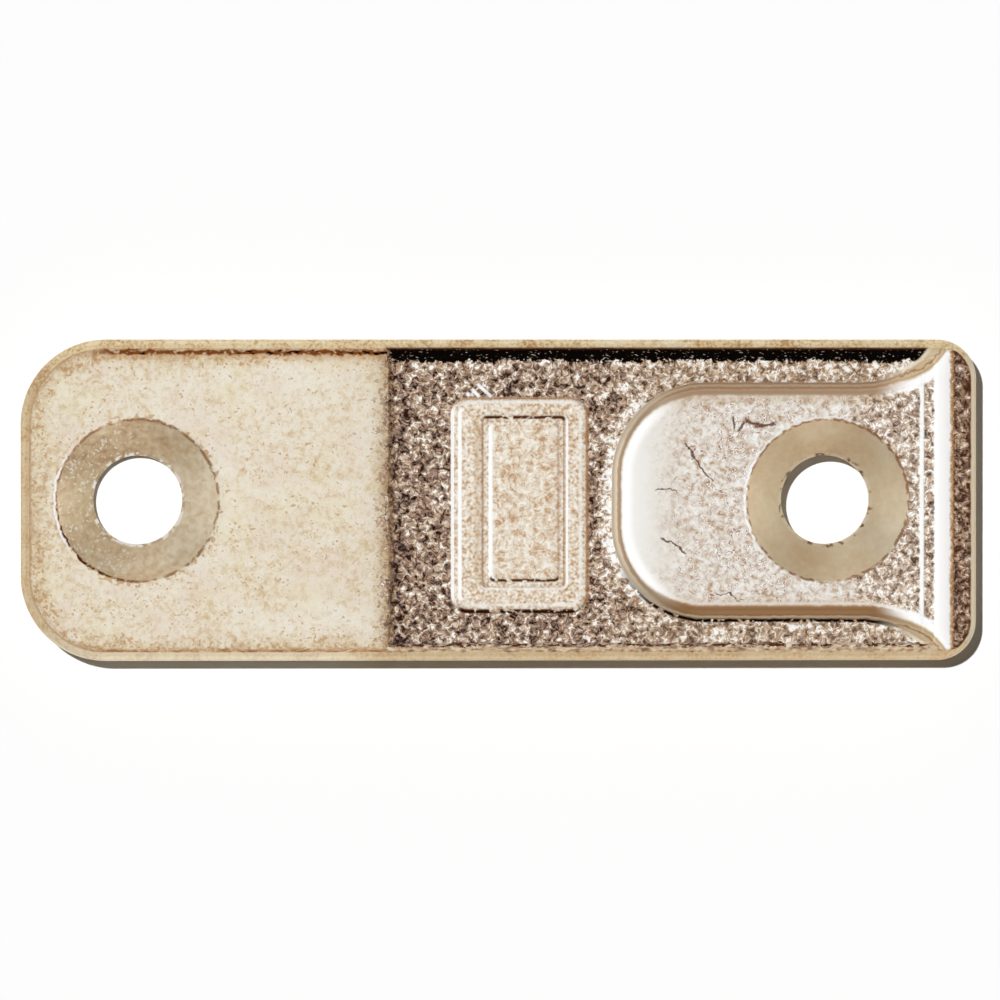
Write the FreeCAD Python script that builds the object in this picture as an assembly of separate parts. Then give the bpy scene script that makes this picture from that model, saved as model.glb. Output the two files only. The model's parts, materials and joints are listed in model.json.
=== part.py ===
import FreeCAD, Part
import math
import os

from FreeCAD import Vector

# One-piece cast door strike plate. All sizes are in millimetres.
# X runs along the plate, from the round tail to the mouth that the latch enters.
# Y runs across the plate, and Z = 0 is the flat back that lies on the frame.

# Plate outline, seen from above
plate_length = 50.0
plate_width = 16.8
tail_corner_radius = 4.45
mouth_corner_radius = 2.05

# Heights above the back
shoulder_height = 1.6
ramp_tail_height = 2.2
ramp_step_height = 2.65
land_height = 3.6

# Rounded rim all round, and the raised body that stands inside it with drafted sides
rim_radius = 0.38
shoulder_width = 0.45
side_draft_angle = 15.6

# Ramp from the tail to the foot of the step up to the land
ramp_length = 19.15
step_run = 0.4
step_foot_radius = 0.25
step_crest_radius = 0.25

# Tongue-shaped catch pocket, open at the mouth
pocket_length = 19.2
pocket_half_width = 6.16
pocket_end_flat = 2.5
pocket_depth = 0.7
pocket_draft_angle = 12.0
pocket_cove_radius = 0.65

# Flare of the pocket's mouth, and the slope that leads the latch up over the sill
flare_start = 6.23
flare_radius = 5.2
flare_turn_angle = 67.5
sill_width = 1.26
lead_in_angle = 39.0

# Countersunk screw holes, on the centre line
tail_screw_inset = 6.1
mouth_screw_inset = 7.9
screw_hole_radius = 2.32
countersink_radius = 4.265
countersink_angle = 90.0

# Plain cartouche pressed into the land: a ring groove round a shallow field
cartouche_gap = 1.35
cartouche_offset = -0.19
cartouche_length = 6.96
cartouche_width = 11.02
cartouche_corner_radius = 0.85
ring_tail_width = 1.6
ring_mouth_width = 1.05
ring_lower_width = 1.2
ring_upper_width = 0.95
ring_depth = 0.22
ridge_width = 0.35
field_depth = 0.14
field_corner_radius = 0.25

# Cutting bodies run this far past what they cut
overrun = 1.0

# Places worked out from the sizes above
tail_x = -plate_length / 2
mouth_x = plate_length / 2
half_width = plate_width / 2
step_foot_x = tail_x + ramp_length
step_crest_x = step_foot_x + step_run
pocket_end_x = mouth_x - pocket_length
pocket_floor_height = land_height - pocket_depth
sill_x = mouth_x - sill_width
tail_screw_x = tail_x + tail_screw_inset
mouth_screw_x = mouth_x - mouth_screw_inset
cartouche_x = pocket_end_x - cartouche_gap - cartouche_length / 2


def slope_run(rise, angle_from_vertical):
    """Sideways run of a wall that leans by an angle from the vertical."""
    return rise * math.tan(math.radians(angle_from_vertical))


def at_height(z):
    """Placing rule for a profile that lies flat at height z."""
    return lambda u, v: Vector(u, v, z)


def on_edge(y):
    """Placing rule for a profile that stands upright along the plate at y."""
    return lambda u, v: Vector(u, y, v)


def corner_arc(before, corner, after, radius):
    """Start, middle and end of the arc that rounds a corner between two neighbours."""
    into = (before - corner).normalize()
    out_of = (after - corner).normalize()
    half_angle = into.getAngle(out_of) / 2
    tangent = radius / math.tan(half_angle)
    bisector = (into + out_of).normalize()
    reach = radius / math.sin(half_angle) - radius
    return corner + into * tangent, corner + bisector * reach, corner + out_of * tangent


def rounded_wire(corners, place):
    """Closed wire through corners (u, v, radius), with an arc where the radius isn't zero."""
    points = [place(u, v) for u, v, radius in corners]
    radii = [radius for u, v, radius in corners]
    count = len(points)
    arcs = []
    for i in range(count):
        if radii[i] > 0:
            arcs.append(corner_arc(points[i - 1], points[i], points[(i + 1) % count], radii[i]))
        else:
            arcs.append((points[i], points[i], points[i]))
    edges = []
    for i in range(count):
        start, middle, end = arcs[i]
        if radii[i] > 0:
            edges.append(Part.Arc(start, middle, end).toShape())
        edges.append(Part.LineSegment(end, arcs[(i + 1) % count][0]).toShape())
    return Part.Wire(edges)


def plate_outline(inset, z):
    """The plate's outline drawn inwards by an inset, at height z."""
    tail = tail_x + inset
    mouth = mouth_x - inset
    side = half_width - inset
    corners = [
        (tail, -side, tail_corner_radius - inset),
        (mouth, -side, mouth_corner_radius - inset),
        (mouth, side, mouth_corner_radius - inset),
        (tail, side, tail_corner_radius - inset),
    ]
    return rounded_wire(corners, at_height(z))


def cartouche_outline(margins, radius, z):
    """The cartouche's outline at height z, drawn in by a margin on each side."""
    tail_margin, mouth_margin, lower_margin, upper_margin = margins
    low_x = cartouche_x - cartouche_length / 2 + tail_margin
    high_x = cartouche_x + cartouche_length / 2 - mouth_margin
    low_y = cartouche_offset - cartouche_width / 2 + lower_margin
    high_y = cartouche_offset + cartouche_width / 2 - upper_margin
    corners = [
        (low_x, low_y, radius),
        (high_x, low_y, radius),
        (high_x, high_y, radius),
        (low_x, high_y, radius),
    ]
    return rounded_wire(corners, at_height(z))


def edges_at_height(shape, z):
    """Every edge of a shape that lies flat at height z."""
    flat = []
    for edge in shape.Edges:
        box = edge.BoundBox
        if abs(box.ZMin - z) < 1e-6 and abs(box.ZMax - z) < 1e-6:
            flat.append(edge)
    return flat


def make_base():
    """Flat slab with the full outline and a rounded rim."""
    slab = Part.Face(plate_outline(0, 0)).extrude(Vector(0, 0, shoulder_height))
    return slab.makeFillet(rim_radius, edges_at_height(slab, shoulder_height))


def make_raised_body():
    """Drafted body inside the rim, rooted in the slab and as high as the land."""
    root_height = shoulder_height / 2
    root_inset = shoulder_width - slope_run(shoulder_height - root_height, side_draft_angle)
    top_inset = shoulder_width + slope_run(land_height - shoulder_height, side_draft_angle)
    wires = [plate_outline(root_inset, root_height), plate_outline(top_inset, land_height)]
    return Part.makeLoft(wires, True, True)


def ramp_height(x):
    """Height of the ramp's surface at a place along the plate."""
    return ramp_tail_height + (ramp_step_height - ramp_tail_height) * (x - tail_x) / ramp_length


def make_ramp_cut():
    """Space over the ramp and the step, as one upright profile run across the plate."""
    start_x = tail_x - overrun
    top = land_height + overrun
    rise = (land_height - ramp_step_height) / step_run
    corners = [
        (start_x, ramp_height(start_x), 0),
        (step_foot_x, ramp_step_height, step_foot_radius),
        (step_crest_x, land_height, step_crest_radius),
        (step_crest_x + overrun, land_height, 0),
        (step_crest_x + overrun / rise + overrun, top, 0),
        (start_x, top, 0),
    ]
    profile = rounded_wire(corners, on_edge(-half_width - overrun))
    return Part.Face(profile).extrude(Vector(0, plate_width + 2 * overrun, 0))


def make_mouth_cut():
    """Space past the lead-in slope, down to the sill that is left of the slab."""
    top = land_height + overrun
    run = slope_run(top - shoulder_height, lead_in_angle)
    end_x = mouth_x + overrun
    corners = [
        (sill_x, shoulder_height, 0),
        (end_x, shoulder_height, 0),
        (end_x, top, 0),
        (sill_x - run, top, 0),
    ]
    profile = rounded_wire(corners, on_edge(-half_width - overrun))
    return Part.Face(profile).extrude(Vector(0, plate_width + 2 * overrun, 0))


def pocket_contour(z):
    """The pocket's outline at height z: it widens with height by the draft."""
    widen = slope_run(z - land_height, pocket_draft_angle)
    side = pocket_half_width + widen
    end = pocket_end_x - widen
    end_radius = pocket_half_width - pocket_end_flat / 2 + widen
    radius = flare_radius - widen
    turn = math.radians(flare_turn_angle)
    bend_x = mouth_x - flare_start + radius * math.tan(turn / 2)
    straight = radius * math.tan(turn / 2) + overrun
    lip_x = bend_x + straight * math.cos(turn)
    lip_y = side + straight * math.sin(turn)
    out_x = mouth_x + 2 * overrun
    corners = [
        (end, -side, end_radius),
        (bend_x, -side, radius),
        (lip_x, -lip_y, 0),
        (out_x, -lip_y, 0),
        (out_x, lip_y, 0),
        (lip_x, lip_y, 0),
        (bend_x, side, radius),
        (end, side, end_radius),
    ]
    return rounded_wire(corners, at_height(z))


def make_pocket_cut():
    """Tongue-shaped pocket with drafted walls, a cove at the floor and a flared mouth."""
    wires = [pocket_contour(pocket_floor_height), pocket_contour(land_height + overrun)]
    pocket = Part.makeLoft(wires, True, True)
    cove = [e for e in edges_at_height(pocket, pocket_floor_height) if e.BoundBox.XMax < mouth_x + overrun]
    return pocket.makeFillet(pocket_cove_radius, cove)


def make_screw_cut(x, surface_height):
    """Through hole with a countersink that meets the surface at its full radius."""
    lean = math.tan(math.radians(countersink_angle / 2))
    cone_base = surface_height - (countersink_radius - screw_hole_radius) / lean
    cone_top = surface_height + overrun
    top_radius = countersink_radius + overrun * lean
    bore = Part.makeCylinder(screw_hole_radius, cone_top + overrun, Vector(x, 0, -overrun))
    cone = Part.makeCone(screw_hole_radius, top_radius, cone_top - cone_base, Vector(x, 0, cone_base))
    return bore.fuse(cone)


def make_pressed_shape(margins, radius, depth):
    """Upright cut inside the cartouche's outline, sunk into the land by a depth."""
    outline = cartouche_outline(margins, radius, land_height - depth)
    return Part.Face(outline).extrude(Vector(0, 0, depth + overrun))


def make_cartouche_cut():
    """Ring groove, the ridge left inside it and the shallow bare field."""
    ring = (ring_tail_width, ring_mouth_width, ring_lower_width, ring_upper_width)
    ring_and_ridge = [width + ridge_width for width in ring]
    groove = make_pressed_shape((0, 0, 0, 0), cartouche_corner_radius, ring_depth)
    island = make_pressed_shape(ring, field_corner_radius, ring_depth)
    field = make_pressed_shape(ring_and_ridge, field_corner_radius, field_depth)
    return groove.cut(island).fuse(field)


def make_strike_plate():
    """The whole plate as one solid."""
    body = make_raised_body().cut([make_ramp_cut(), make_mouth_cut(), make_pocket_cut()])
    plate = make_base().fuse(body).removeSplitter()
    holes = [
        make_screw_cut(tail_screw_x, ramp_height(tail_screw_x)),
        make_screw_cut(mouth_screw_x, pocket_floor_height),
    ]
    return plate.cut(holes + [make_cartouche_cut()])


os.makedirs("parts", exist_ok=True)
strike_plate = make_strike_plate()
strike_plate.exportStep("parts/strike_plate.step")
print("solids", len(strike_plate.Solids), "valid", strike_plate.isValid(), "faces", len(strike_plate.Faces))
print("volume", round(strike_plate.Volume, 2), "box", strike_plate.BoundBox)
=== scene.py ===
"""Looks of a cast door strike plate: its worn, plated metal, as one closed mesh fitted over the solid.

Lengths are in millimetres unless a name ends in _m, and the mesh is scaled to metres when it is made.
"""

import json
import logging
import math
from collections.abc import Callable, Iterable
from dataclasses import dataclass, field, replace
from enum import Enum

import bpy
import numpy as np
from mathutils import Matrix, Vector, noise
from mathutils.geometry import delaunay_2d_cdt

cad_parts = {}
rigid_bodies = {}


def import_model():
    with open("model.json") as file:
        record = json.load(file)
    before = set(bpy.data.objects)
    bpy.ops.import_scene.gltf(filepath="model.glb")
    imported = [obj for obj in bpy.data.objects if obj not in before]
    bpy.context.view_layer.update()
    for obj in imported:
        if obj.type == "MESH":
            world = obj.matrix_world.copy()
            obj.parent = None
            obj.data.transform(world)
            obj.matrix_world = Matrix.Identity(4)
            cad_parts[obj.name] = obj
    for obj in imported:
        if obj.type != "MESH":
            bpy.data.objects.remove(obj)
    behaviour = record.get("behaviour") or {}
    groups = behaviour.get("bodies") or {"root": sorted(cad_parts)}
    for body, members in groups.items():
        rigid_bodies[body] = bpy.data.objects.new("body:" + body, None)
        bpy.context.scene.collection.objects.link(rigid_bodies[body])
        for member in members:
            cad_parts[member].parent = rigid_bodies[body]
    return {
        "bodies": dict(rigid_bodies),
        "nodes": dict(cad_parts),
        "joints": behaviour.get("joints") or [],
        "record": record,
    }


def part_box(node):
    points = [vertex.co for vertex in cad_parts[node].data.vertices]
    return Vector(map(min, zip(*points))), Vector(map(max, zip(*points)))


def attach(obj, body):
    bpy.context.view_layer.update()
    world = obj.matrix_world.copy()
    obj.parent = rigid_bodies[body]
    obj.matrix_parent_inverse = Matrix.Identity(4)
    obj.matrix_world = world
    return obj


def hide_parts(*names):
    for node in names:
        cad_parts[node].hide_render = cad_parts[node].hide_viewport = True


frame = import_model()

NODE = "strike_plate"
BODY = "root"
POCKET_FACING = "pocket_facing"
M_PER_MM = 0.001
NOISE_SPREAD = 0.087

Colour = tuple[float, float, float, float]
Place = tuple[float, float]
Test = Callable[[np.ndarray, np.ndarray], np.ndarray]

log = logging.getLogger("strike_plate")
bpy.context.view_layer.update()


def srgb(red: float, green: float, blue: float) -> Colour:
    """A colour picked on the 0 to 255 scale of a screen, as linear light.

    Args:
        red, green, blue: the colour's parts, from 0 to 255.

    Returns:
        The linear colour with full alpha.
    """
    parts = []
    for part in (red, green, blue):
        value = part / 255
        parts.append(value / 12.92 if value <= 0.04045 else ((value + 0.055) / 1.055) ** 2.4)
    return parts[0], parts[1], parts[2], 1.0


def ease(low: float, high: float, value: np.ndarray) -> np.ndarray:
    """Rises smoothly from 0 at low to 1 at high."""
    share = np.clip((value - low) / (high - low), 0, 1)
    return share * share * (3 - 2 * share)


def soft_min(a: np.ndarray, b: np.ndarray, blend: float) -> np.ndarray:
    """The lower of two heights, with the edge between them rounded over a blend height."""
    overlap = np.maximum(blend - np.abs(a - b), 0) / blend
    return np.minimum(a, b) - overlap * overlap * blend / 4


def soft_max(a: np.ndarray, b: np.ndarray, blend: float) -> np.ndarray:
    """The higher of two heights, with the corner between them filled over a blend height."""
    return -soft_min(-a, -b, blend)


def perlin(x: np.ndarray, y: np.ndarray, per_mm: float, seed: float) -> np.ndarray:
    """Smooth noise from -1 to 1 at each place.

    Args:
        x, y: places on the plate.
        per_mm: how many bumps of noise go into a millimetre.
        seed: picks another pattern of the same kind.

    Returns:
        One value for each place.
    """
    places = zip((x * per_mm).tolist(), (y * per_mm).tolist())
    return np.array([noise.noise((px, py, seed)) for px, py in places])


def round_box_inset(x: np.ndarray, y: np.ndarray, half_x: float, half_y: float, radius: np.ndarray) -> np.ndarray:
    """How far inside a round-cornered box each place lies.

    Args:
        x, y: places, measured from the middle of the box.
        half_x, half_y: half of the box's sides.
        radius: corner radius, one value or one for each place.

    Returns:
        The distance to the box's outline, above zero inside.
    """
    over_x = np.abs(x) - half_x + radius
    over_y = np.abs(y) - half_y + radius
    outside = np.hypot(np.maximum(over_x, 0), np.maximum(over_y, 0))
    return radius - outside - np.minimum(np.maximum(over_x, over_y), 0)


def arc(centre: tuple[float, float], radius: float, start: float, turn: float, step: float) -> np.ndarray:
    """Points along an arc, both ends included.

    Args:
        centre: middle of the arc's circle.
        radius: its radius.
        start, turn: the angle it starts at and how far it turns, in degrees.
        step: the greatest distance between two points.

    Returns:
        Rows of x and y.
    """
    count = max(2, math.ceil(radius * abs(math.radians(turn)) / step))
    angles = np.radians(start + turn * np.arange(count + 1) / count)
    return np.column_stack((centre[0] + radius * np.cos(angles), centre[1] + radius * np.sin(angles)))


def close_loop(corners: np.ndarray, step: float) -> np.ndarray:
    """Fills the straight stretches of a closed outline with points about a step apart."""
    points = []
    for start, end in zip(corners, np.roll(corners, -1, axis=0)):
        pieces = max(1, round(math.dist(start, end) / step))
        points += [start + (end - start) * k / pieces for k in range(pieces)]
    return np.array(points)


def round_box_loop(centre: tuple[float, float], half_x: float, half_y: float, radii: tuple[float, float], step: float) -> np.ndarray:
    """Points round a box with round corners, anticlockwise.

    Args:
        centre: middle of the box.
        half_x, half_y: half of its sides.
        radii: corner radius at its low and at its high end along the plate.
        step: the distance between two points.

    Returns:
        Rows of x and y.
    """
    arcs = []
    for sign_x, sign_y, start in ((1, 1, 0), (-1, 1, 90), (-1, -1, 180), (1, -1, 270)):
        radius = radii[1] if sign_x > 0 else radii[0]
        corner = (centre[0] + sign_x * (half_x - radius), centre[1] + sign_y * (half_y - radius))
        arcs.append(arc(corner, radius, start, 90, step))
    return close_loop(np.vstack(arcs), step)


class Gauge(Enum):
    """What the mesh stores at its vertices for the finish, in millimetres but for RISE and ROUGH."""

    INSET = "inset_from_outline"
    RISE = "rise_up_the_side"
    POCKET = "inset_from_pocket"
    GROOVE = "inset_from_groove"
    ISLAND = "inset_from_island"
    PANEL = "inset_from_panel"
    ROUGH = "roughness_of_cast"


@dataclass
class Outline:
    """The plate's outline, round at the tail and tighter at the mouth."""

    length: float
    width: float
    tail_radius: float = 4.45
    mouth_radius: float = 2.05

    @property
    def tail_x(self) -> float:
        """Place of the tail's end."""
        return -self.length / 2

    @property
    def mouth_x(self) -> float:
        """Place of the mouth's end."""
        return self.length / 2

    def inset(self, x: np.ndarray, y: np.ndarray) -> np.ndarray:
        """Distance in from the outline."""
        radius = np.where(x < 0, self.tail_radius, self.mouth_radius)
        return round_box_inset(x, y, self.length / 2, self.width / 2, radius)

    def loop(self, inset: float, step: float) -> np.ndarray:
        """Points along the outline drawn inwards by an inset, as many for every inset."""
        full = round_box_loop((0, 0), self.length / 2, self.width / 2, (self.tail_radius, self.mouth_radius), step)
        core_x = np.where(full[:, 0] < 0, self.tail_x + self.tail_radius, self.mouth_x - self.mouth_radius)
        radius = np.where(full[:, 0] < 0, self.tail_radius, self.mouth_radius)
        core_y = self.width / 2 - radius
        beyond_x = np.where(np.abs(full[:, 0]) > np.abs(core_x), full[:, 0] - core_x, 0)
        side = np.abs(full[:, 1])
        beyond_y = np.where(side > core_y, side - core_y, 0) * np.sign(full[:, 1])
        reach = np.hypot(beyond_x, beyond_y)
        return full - np.column_stack((beyond_x / reach, beyond_y / reach)) * inset


@dataclass
class Body:
    """The rounded rim at shoulder height and the drafted body that stands inside it."""

    outline: Outline
    land_height: float
    shoulder_height: float = 1.6
    shoulder_width: float = 0.45
    rim_radius: float = 0.38
    draft_angle: float = 15.6
    edge_blend: float = 0.26
    foot_blend: float = 0.08
    rim_insets: tuple[float, ...] = (0.015, 0.06, 0.13, 0.22, 0.32, 0.4, 0.45, 0.5)
    wall_rows: int = 8

    @property
    def slope(self) -> float:
        """Rise of the side wall for each millimetre across."""
        return 1 / math.tan(math.radians(self.draft_angle))

    @property
    def wall_run(self) -> float:
        """Width of the side wall seen from above, up to the land."""
        return (self.land_height - self.shoulder_height) / self.slope

    @property
    def edge_height(self) -> float:
        """Height at which the rim starts to round over."""
        return self.shoulder_height - self.rim_radius

    def rise(self, inset: np.ndarray, top: np.ndarray) -> np.ndarray:
        """How far up the side wall each place is: 0 at its foot, 1 where it meets the top."""
        run = np.maximum(top - self.shoulder_height, 0.03) / self.slope
        return np.clip((inset - self.shoulder_width) / run, -4, 4)

    def shape(self, inset: np.ndarray, top: np.ndarray) -> np.ndarray:
        """Height of the whole front, from the height of its top surfaces and the inset.

        Args:
            inset: distance in from the plate's outline.
            top: height of what lies on the body.

        Returns:
            The height with the side walls, the shoulder and the rim.
        """
        side = self.shoulder_height + (inset - self.shoulder_width) * self.slope
        raised = soft_min(top, side, self.edge_blend)
        across = np.clip(self.rim_radius - inset, 0, self.rim_radius)
        rim = self.edge_height + np.sqrt(self.rim_radius ** 2 - across ** 2)
        height = soft_max(raised, rim, self.foot_blend)
        return np.where(inset < self.rim_radius, rim, height)

    def rows(self, step: float) -> Iterable[np.ndarray]:
        """Rows of points that follow the rim and the side walls."""
        for inset in self.rim_insets:
            yield self.outline.loop(inset, step)
        for i in range(1, self.wall_rows + 2):
            yield self.outline.loop(self.shoulder_width + self.wall_run * i / self.wall_rows, step)


@dataclass
class Ramp:
    """The ramp from the tail and the step up to the land."""

    outline: Outline
    land_height: float
    tail_height: float = 2.2
    foot_height: float = 2.65
    length: float = 19.15
    step_run: float = 0.4
    blend: float = 0.16
    row_shares: tuple[float, ...] = (0, 1, -0.3, 0.15, 0.35, 0.6, 0.85, 1.15, 1.4)

    @property
    def foot_x(self) -> float:
        """Place of the step's foot."""
        return self.outline.tail_x + self.length

    @property
    def crest_x(self) -> float:
        """Place of the step's crest."""
        return self.foot_x + self.step_run

    def surface(self, x: np.ndarray) -> np.ndarray:
        """Height of the ramp's surface alone."""
        return self.tail_height + (self.foot_height - self.tail_height) * (x - self.outline.tail_x) / self.length

    def height(self, x: np.ndarray) -> np.ndarray:
        """Height of the ramp, the step and the land."""
        step = self.foot_height + (x - self.foot_x) * (self.land_height - self.foot_height) / self.step_run
        low = soft_max(self.surface(np.minimum(x, self.crest_x)), step, self.blend)
        top = soft_min(low, np.full_like(x, self.land_height + self.blend / 4), self.blend)
        return np.minimum(top, self.land_height)

    def rows(self, half_width: float, step: float) -> Iterable[np.ndarray]:
        """Rows of points across the plate at the step."""
        for share in self.row_shares:
            yield cross_row(self.foot_x + self.step_run * share, half_width, step)


def cross_row(x: float, half_width: float, step: float) -> np.ndarray:
    """Points on a line across the plate."""
    ys = np.arange(-half_width, half_width + step / 2, step)
    return np.column_stack((np.full_like(ys, x), ys))


@dataclass
class Pocket:
    """The tongue-shaped catch pocket, with drafted walls, a cove and a flared mouth."""

    outline: Outline
    land_height: float
    length: float = 19.2
    half_width: float = 6.16
    end_flat: float = 2.5
    depth: float = 0.7
    draft_angle: float = 12.0
    cove_radius: float = 0.65
    dish_height: float = 0.05
    dish_reach: float = 2.2
    flare_start: float = 6.23
    flare_radius: float = 5.2
    flare_turn: float = 75.0
    crease_inset: float = 2.9
    crease_drop: float = 0.05
    crease_blend: float = 0.03
    edge_blend: float = 0.16
    row_insets: tuple[float, ...] = (0, 0.04, 0.09, -0.05, -0.11, 0.15, 0.22, 0.3, 0.38, 0.46, 0.54, 0.64)

    @property
    def end_x(self) -> float:
        """Place of the closed end."""
        return self.outline.mouth_x - self.length

    @property
    def end_radius(self) -> float:
        """Corner radius of the closed end."""
        return self.half_width - self.end_flat / 2

    @property
    def flare_x(self) -> float:
        """Place where the mouth starts to flare."""
        return self.outline.mouth_x - self.flare_start

    @property
    def crease_x(self) -> float:
        """Place of the fine step in the floor."""
        return self.outline.mouth_x - self.crease_inset

    @property
    def floor_height(self) -> float:
        """Height of the floor."""
        return self.land_height - self.depth

    @property
    def corner_run(self) -> float:
        """How far in the wall would meet the floor without its cove."""
        return self.depth * math.tan(math.radians(self.draft_angle))

    @property
    def tangent(self) -> float:
        """Distance from that corner to where the cove starts and ends."""
        return self.cove_radius * math.tan(math.radians((90 - self.draft_angle) / 2))

    @property
    def floor_start(self) -> float:
        """How far in the flat floor starts."""
        return self.corner_run + self.tangent

    def inset(self, x: np.ndarray, y: np.ndarray) -> np.ndarray:
        """Distance in from the pocket's contour, as it is at the height of the land."""
        side = np.abs(y)
        reach = self.outline.length
        tongue = round_box_inset(x - self.end_x - reach, side, reach, self.half_width, self.end_radius)
        flare = np.hypot(x - self.flare_x, side - self.half_width - self.flare_radius) - self.flare_radius
        return np.where(x > self.flare_x, flare, tongue)

    def facing(self, x: np.ndarray, y: np.ndarray, reach: float = 0.01) -> np.ndarray:
        """The direction that the pocket's wall faces by each place, as rows of x, y and 0."""
        along = self.inset(x + reach, y) - self.inset(x - reach, y)
        across = self.inset(x, y + reach) - self.inset(x, y - reach)
        size = np.maximum(np.hypot(along, across), reach)
        return np.column_stack((along / size, across / size, np.zeros_like(x)))

    def height(self, inset: np.ndarray, x: np.ndarray) -> np.ndarray:
        """Height of the pocket's wall, cove and floor.

        Args:
            inset: distance in from the pocket's contour.
            x: place along the plate.

        Returns:
            The height at each place.
        """
        lean = math.radians(self.draft_angle)
        wall = self.land_height - inset / math.tan(lean)
        across = np.clip(self.floor_start - inset, 0, self.cove_radius)
        cove = self.floor_height + self.cove_radius - np.sqrt(self.cove_radius ** 2 - across ** 2)
        height = np.where(inset < self.corner_run - self.tangent * math.sin(lean), wall, cove)
        dish = ease(self.dish_reach, 0, x - self.end_x - self.floor_start) * self.dish_height
        drop = ease(-self.crease_blend, self.crease_blend, x - self.crease_x) * self.crease_drop
        share = np.clip(inset / self.floor_start, 0, 1)
        return height + dish * share - np.where(inset > 0, drop, 0)

    def row(self, inset: float, step: float) -> np.ndarray:
        """Points along the contour drawn inwards by an inset, on both sides."""
        flat = self.end_flat / 2
        centre_x = self.end_x + self.end_radius
        count = math.ceil(flat / step)
        end = [(self.end_x + inset, flat * (i + 0.5) / count) for i in range(count)]
        corner = arc((centre_x, flat), self.end_radius - inset, 180, -90, step)
        count = math.ceil((self.flare_x - centre_x) / step)
        run = self.flare_x - centre_x
        side = [(centre_x + run * i / count, self.half_width - inset) for i in range(1, count)]
        flare_centre = (self.flare_x, self.half_width + self.flare_radius)
        flare = arc(flare_centre, self.flare_radius + inset, 270, self.flare_turn, step)
        upper = np.vstack((end, corner, side, flare))
        return np.vstack((upper, upper * (1, -1)))

    def rows(self, step: float) -> Iterable[np.ndarray]:
        """Rows of points that follow the walls and the crease."""
        for inset in self.row_insets:
            yield self.row(inset, step)
        for shift in (0, -self.crease_blend, self.crease_blend):
            yield cross_row(self.crease_x + shift, self.half_width + 1, step)


@dataclass
class LeadIn:
    """The slope that leads the latch up from the sill into the pocket."""

    outline: Outline
    shoulder_height: float
    floor_height: float
    sill_width: float = 1.26
    angle: float = 39.0
    blend: float = 0.08
    row_shift: float = 0.065

    @property
    def foot_x(self) -> float:
        """Place of the slope's foot."""
        return self.outline.mouth_x - self.sill_width

    @property
    def top_x(self) -> float:
        """Place where the slope reaches the pocket's floor."""
        return self.foot_x - (self.floor_height - self.shoulder_height) * math.tan(math.radians(self.angle))

    def height(self, x: np.ndarray) -> np.ndarray:
        """Height of the slope, carried on up over the floor."""
        return self.shoulder_height + (self.foot_x - x) / math.tan(math.radians(self.angle))

    def rows(self, half_width: float, step: float) -> Iterable[np.ndarray]:
        """Rows of points across the plate at the slope's foot and top."""
        for x in (self.foot_x, self.top_x):
            for shift in (0, -self.row_shift, self.row_shift):
                yield cross_row(x + shift, half_width, step)


@dataclass
class Cartouche:
    """The plain cartouche: a ring groove, a ridge inside it and a shallow bare field."""

    pocket_end_x: float
    gap: float = 1.35
    offset: float = -0.19
    length: float = 6.96
    width: float = 11.02
    corner_radius: float = 0.85
    ring: tuple[float, float, float, float] = (1.6, 1.05, 1.2, 0.95)
    ring_depth: float = 0.22
    ridge: float = 0.35
    field_depth: float = 0.14
    inner_radius: float = 0.25
    wall_blend: float = 0.075
    row_shift: float = 0.07

    def box(self, margins: Iterable[float]) -> tuple[float, float, float, float]:
        """The cartouche's outline drawn in by margins.

        Args:
            margins: how far in at the tail, at the mouth, below and above.

        Returns:
            Its middle, and half of its length and width.
        """
        tail, mouth, lower, upper = margins
        middle_x = self.pocket_end_x - self.gap - self.length / 2 + (tail - mouth) / 2
        middle_y = self.offset + (lower - upper) / 2
        return middle_x, middle_y, (self.length - tail - mouth) / 2, (self.width - lower - upper) / 2

    @property
    def frames(self) -> tuple[tuple[tuple[float, ...], float], ...]:
        """Box and corner radius of the groove's outside, of its inside and of the field."""
        field_margins = [width + self.ridge for width in self.ring]
        outer = (self.box((0, 0, 0, 0)), self.corner_radius)
        return outer, (self.box(self.ring), self.inner_radius), (self.box(field_margins), self.inner_radius)

    def insets(self, x: np.ndarray, y: np.ndarray) -> list[np.ndarray]:
        """Distances in from the groove's outside, from its inside and from the field's outline."""
        found = []
        for (middle_x, middle_y, half_x, half_y), radius in self.frames:
            found.append(round_box_inset(x - middle_x, y - middle_y, half_x, half_y, radius))
        return found

    def sink(self, x: np.ndarray, y: np.ndarray) -> tuple[np.ndarray, np.ndarray]:
        """Shares of the groove's and of the field's depth at each place."""
        outer, island, panel = self.insets(x, y)
        blend = self.wall_blend
        groove = ease(-blend, blend, outer) * ease(blend, -blend, island)
        return groove, ease(-blend, blend, panel)

    def rows(self, step: float) -> Iterable[np.ndarray]:
        """Rows of points that follow the groove's and the field's outlines."""
        for (middle_x, middle_y, half_x, half_y), radius in self.frames:
            for shift in (0, self.row_shift, -self.row_shift):
                tight = max(radius - shift, 0.1)
                yield round_box_loop((middle_x, middle_y), half_x - shift, half_y - shift, (tight, tight), step)


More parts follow.
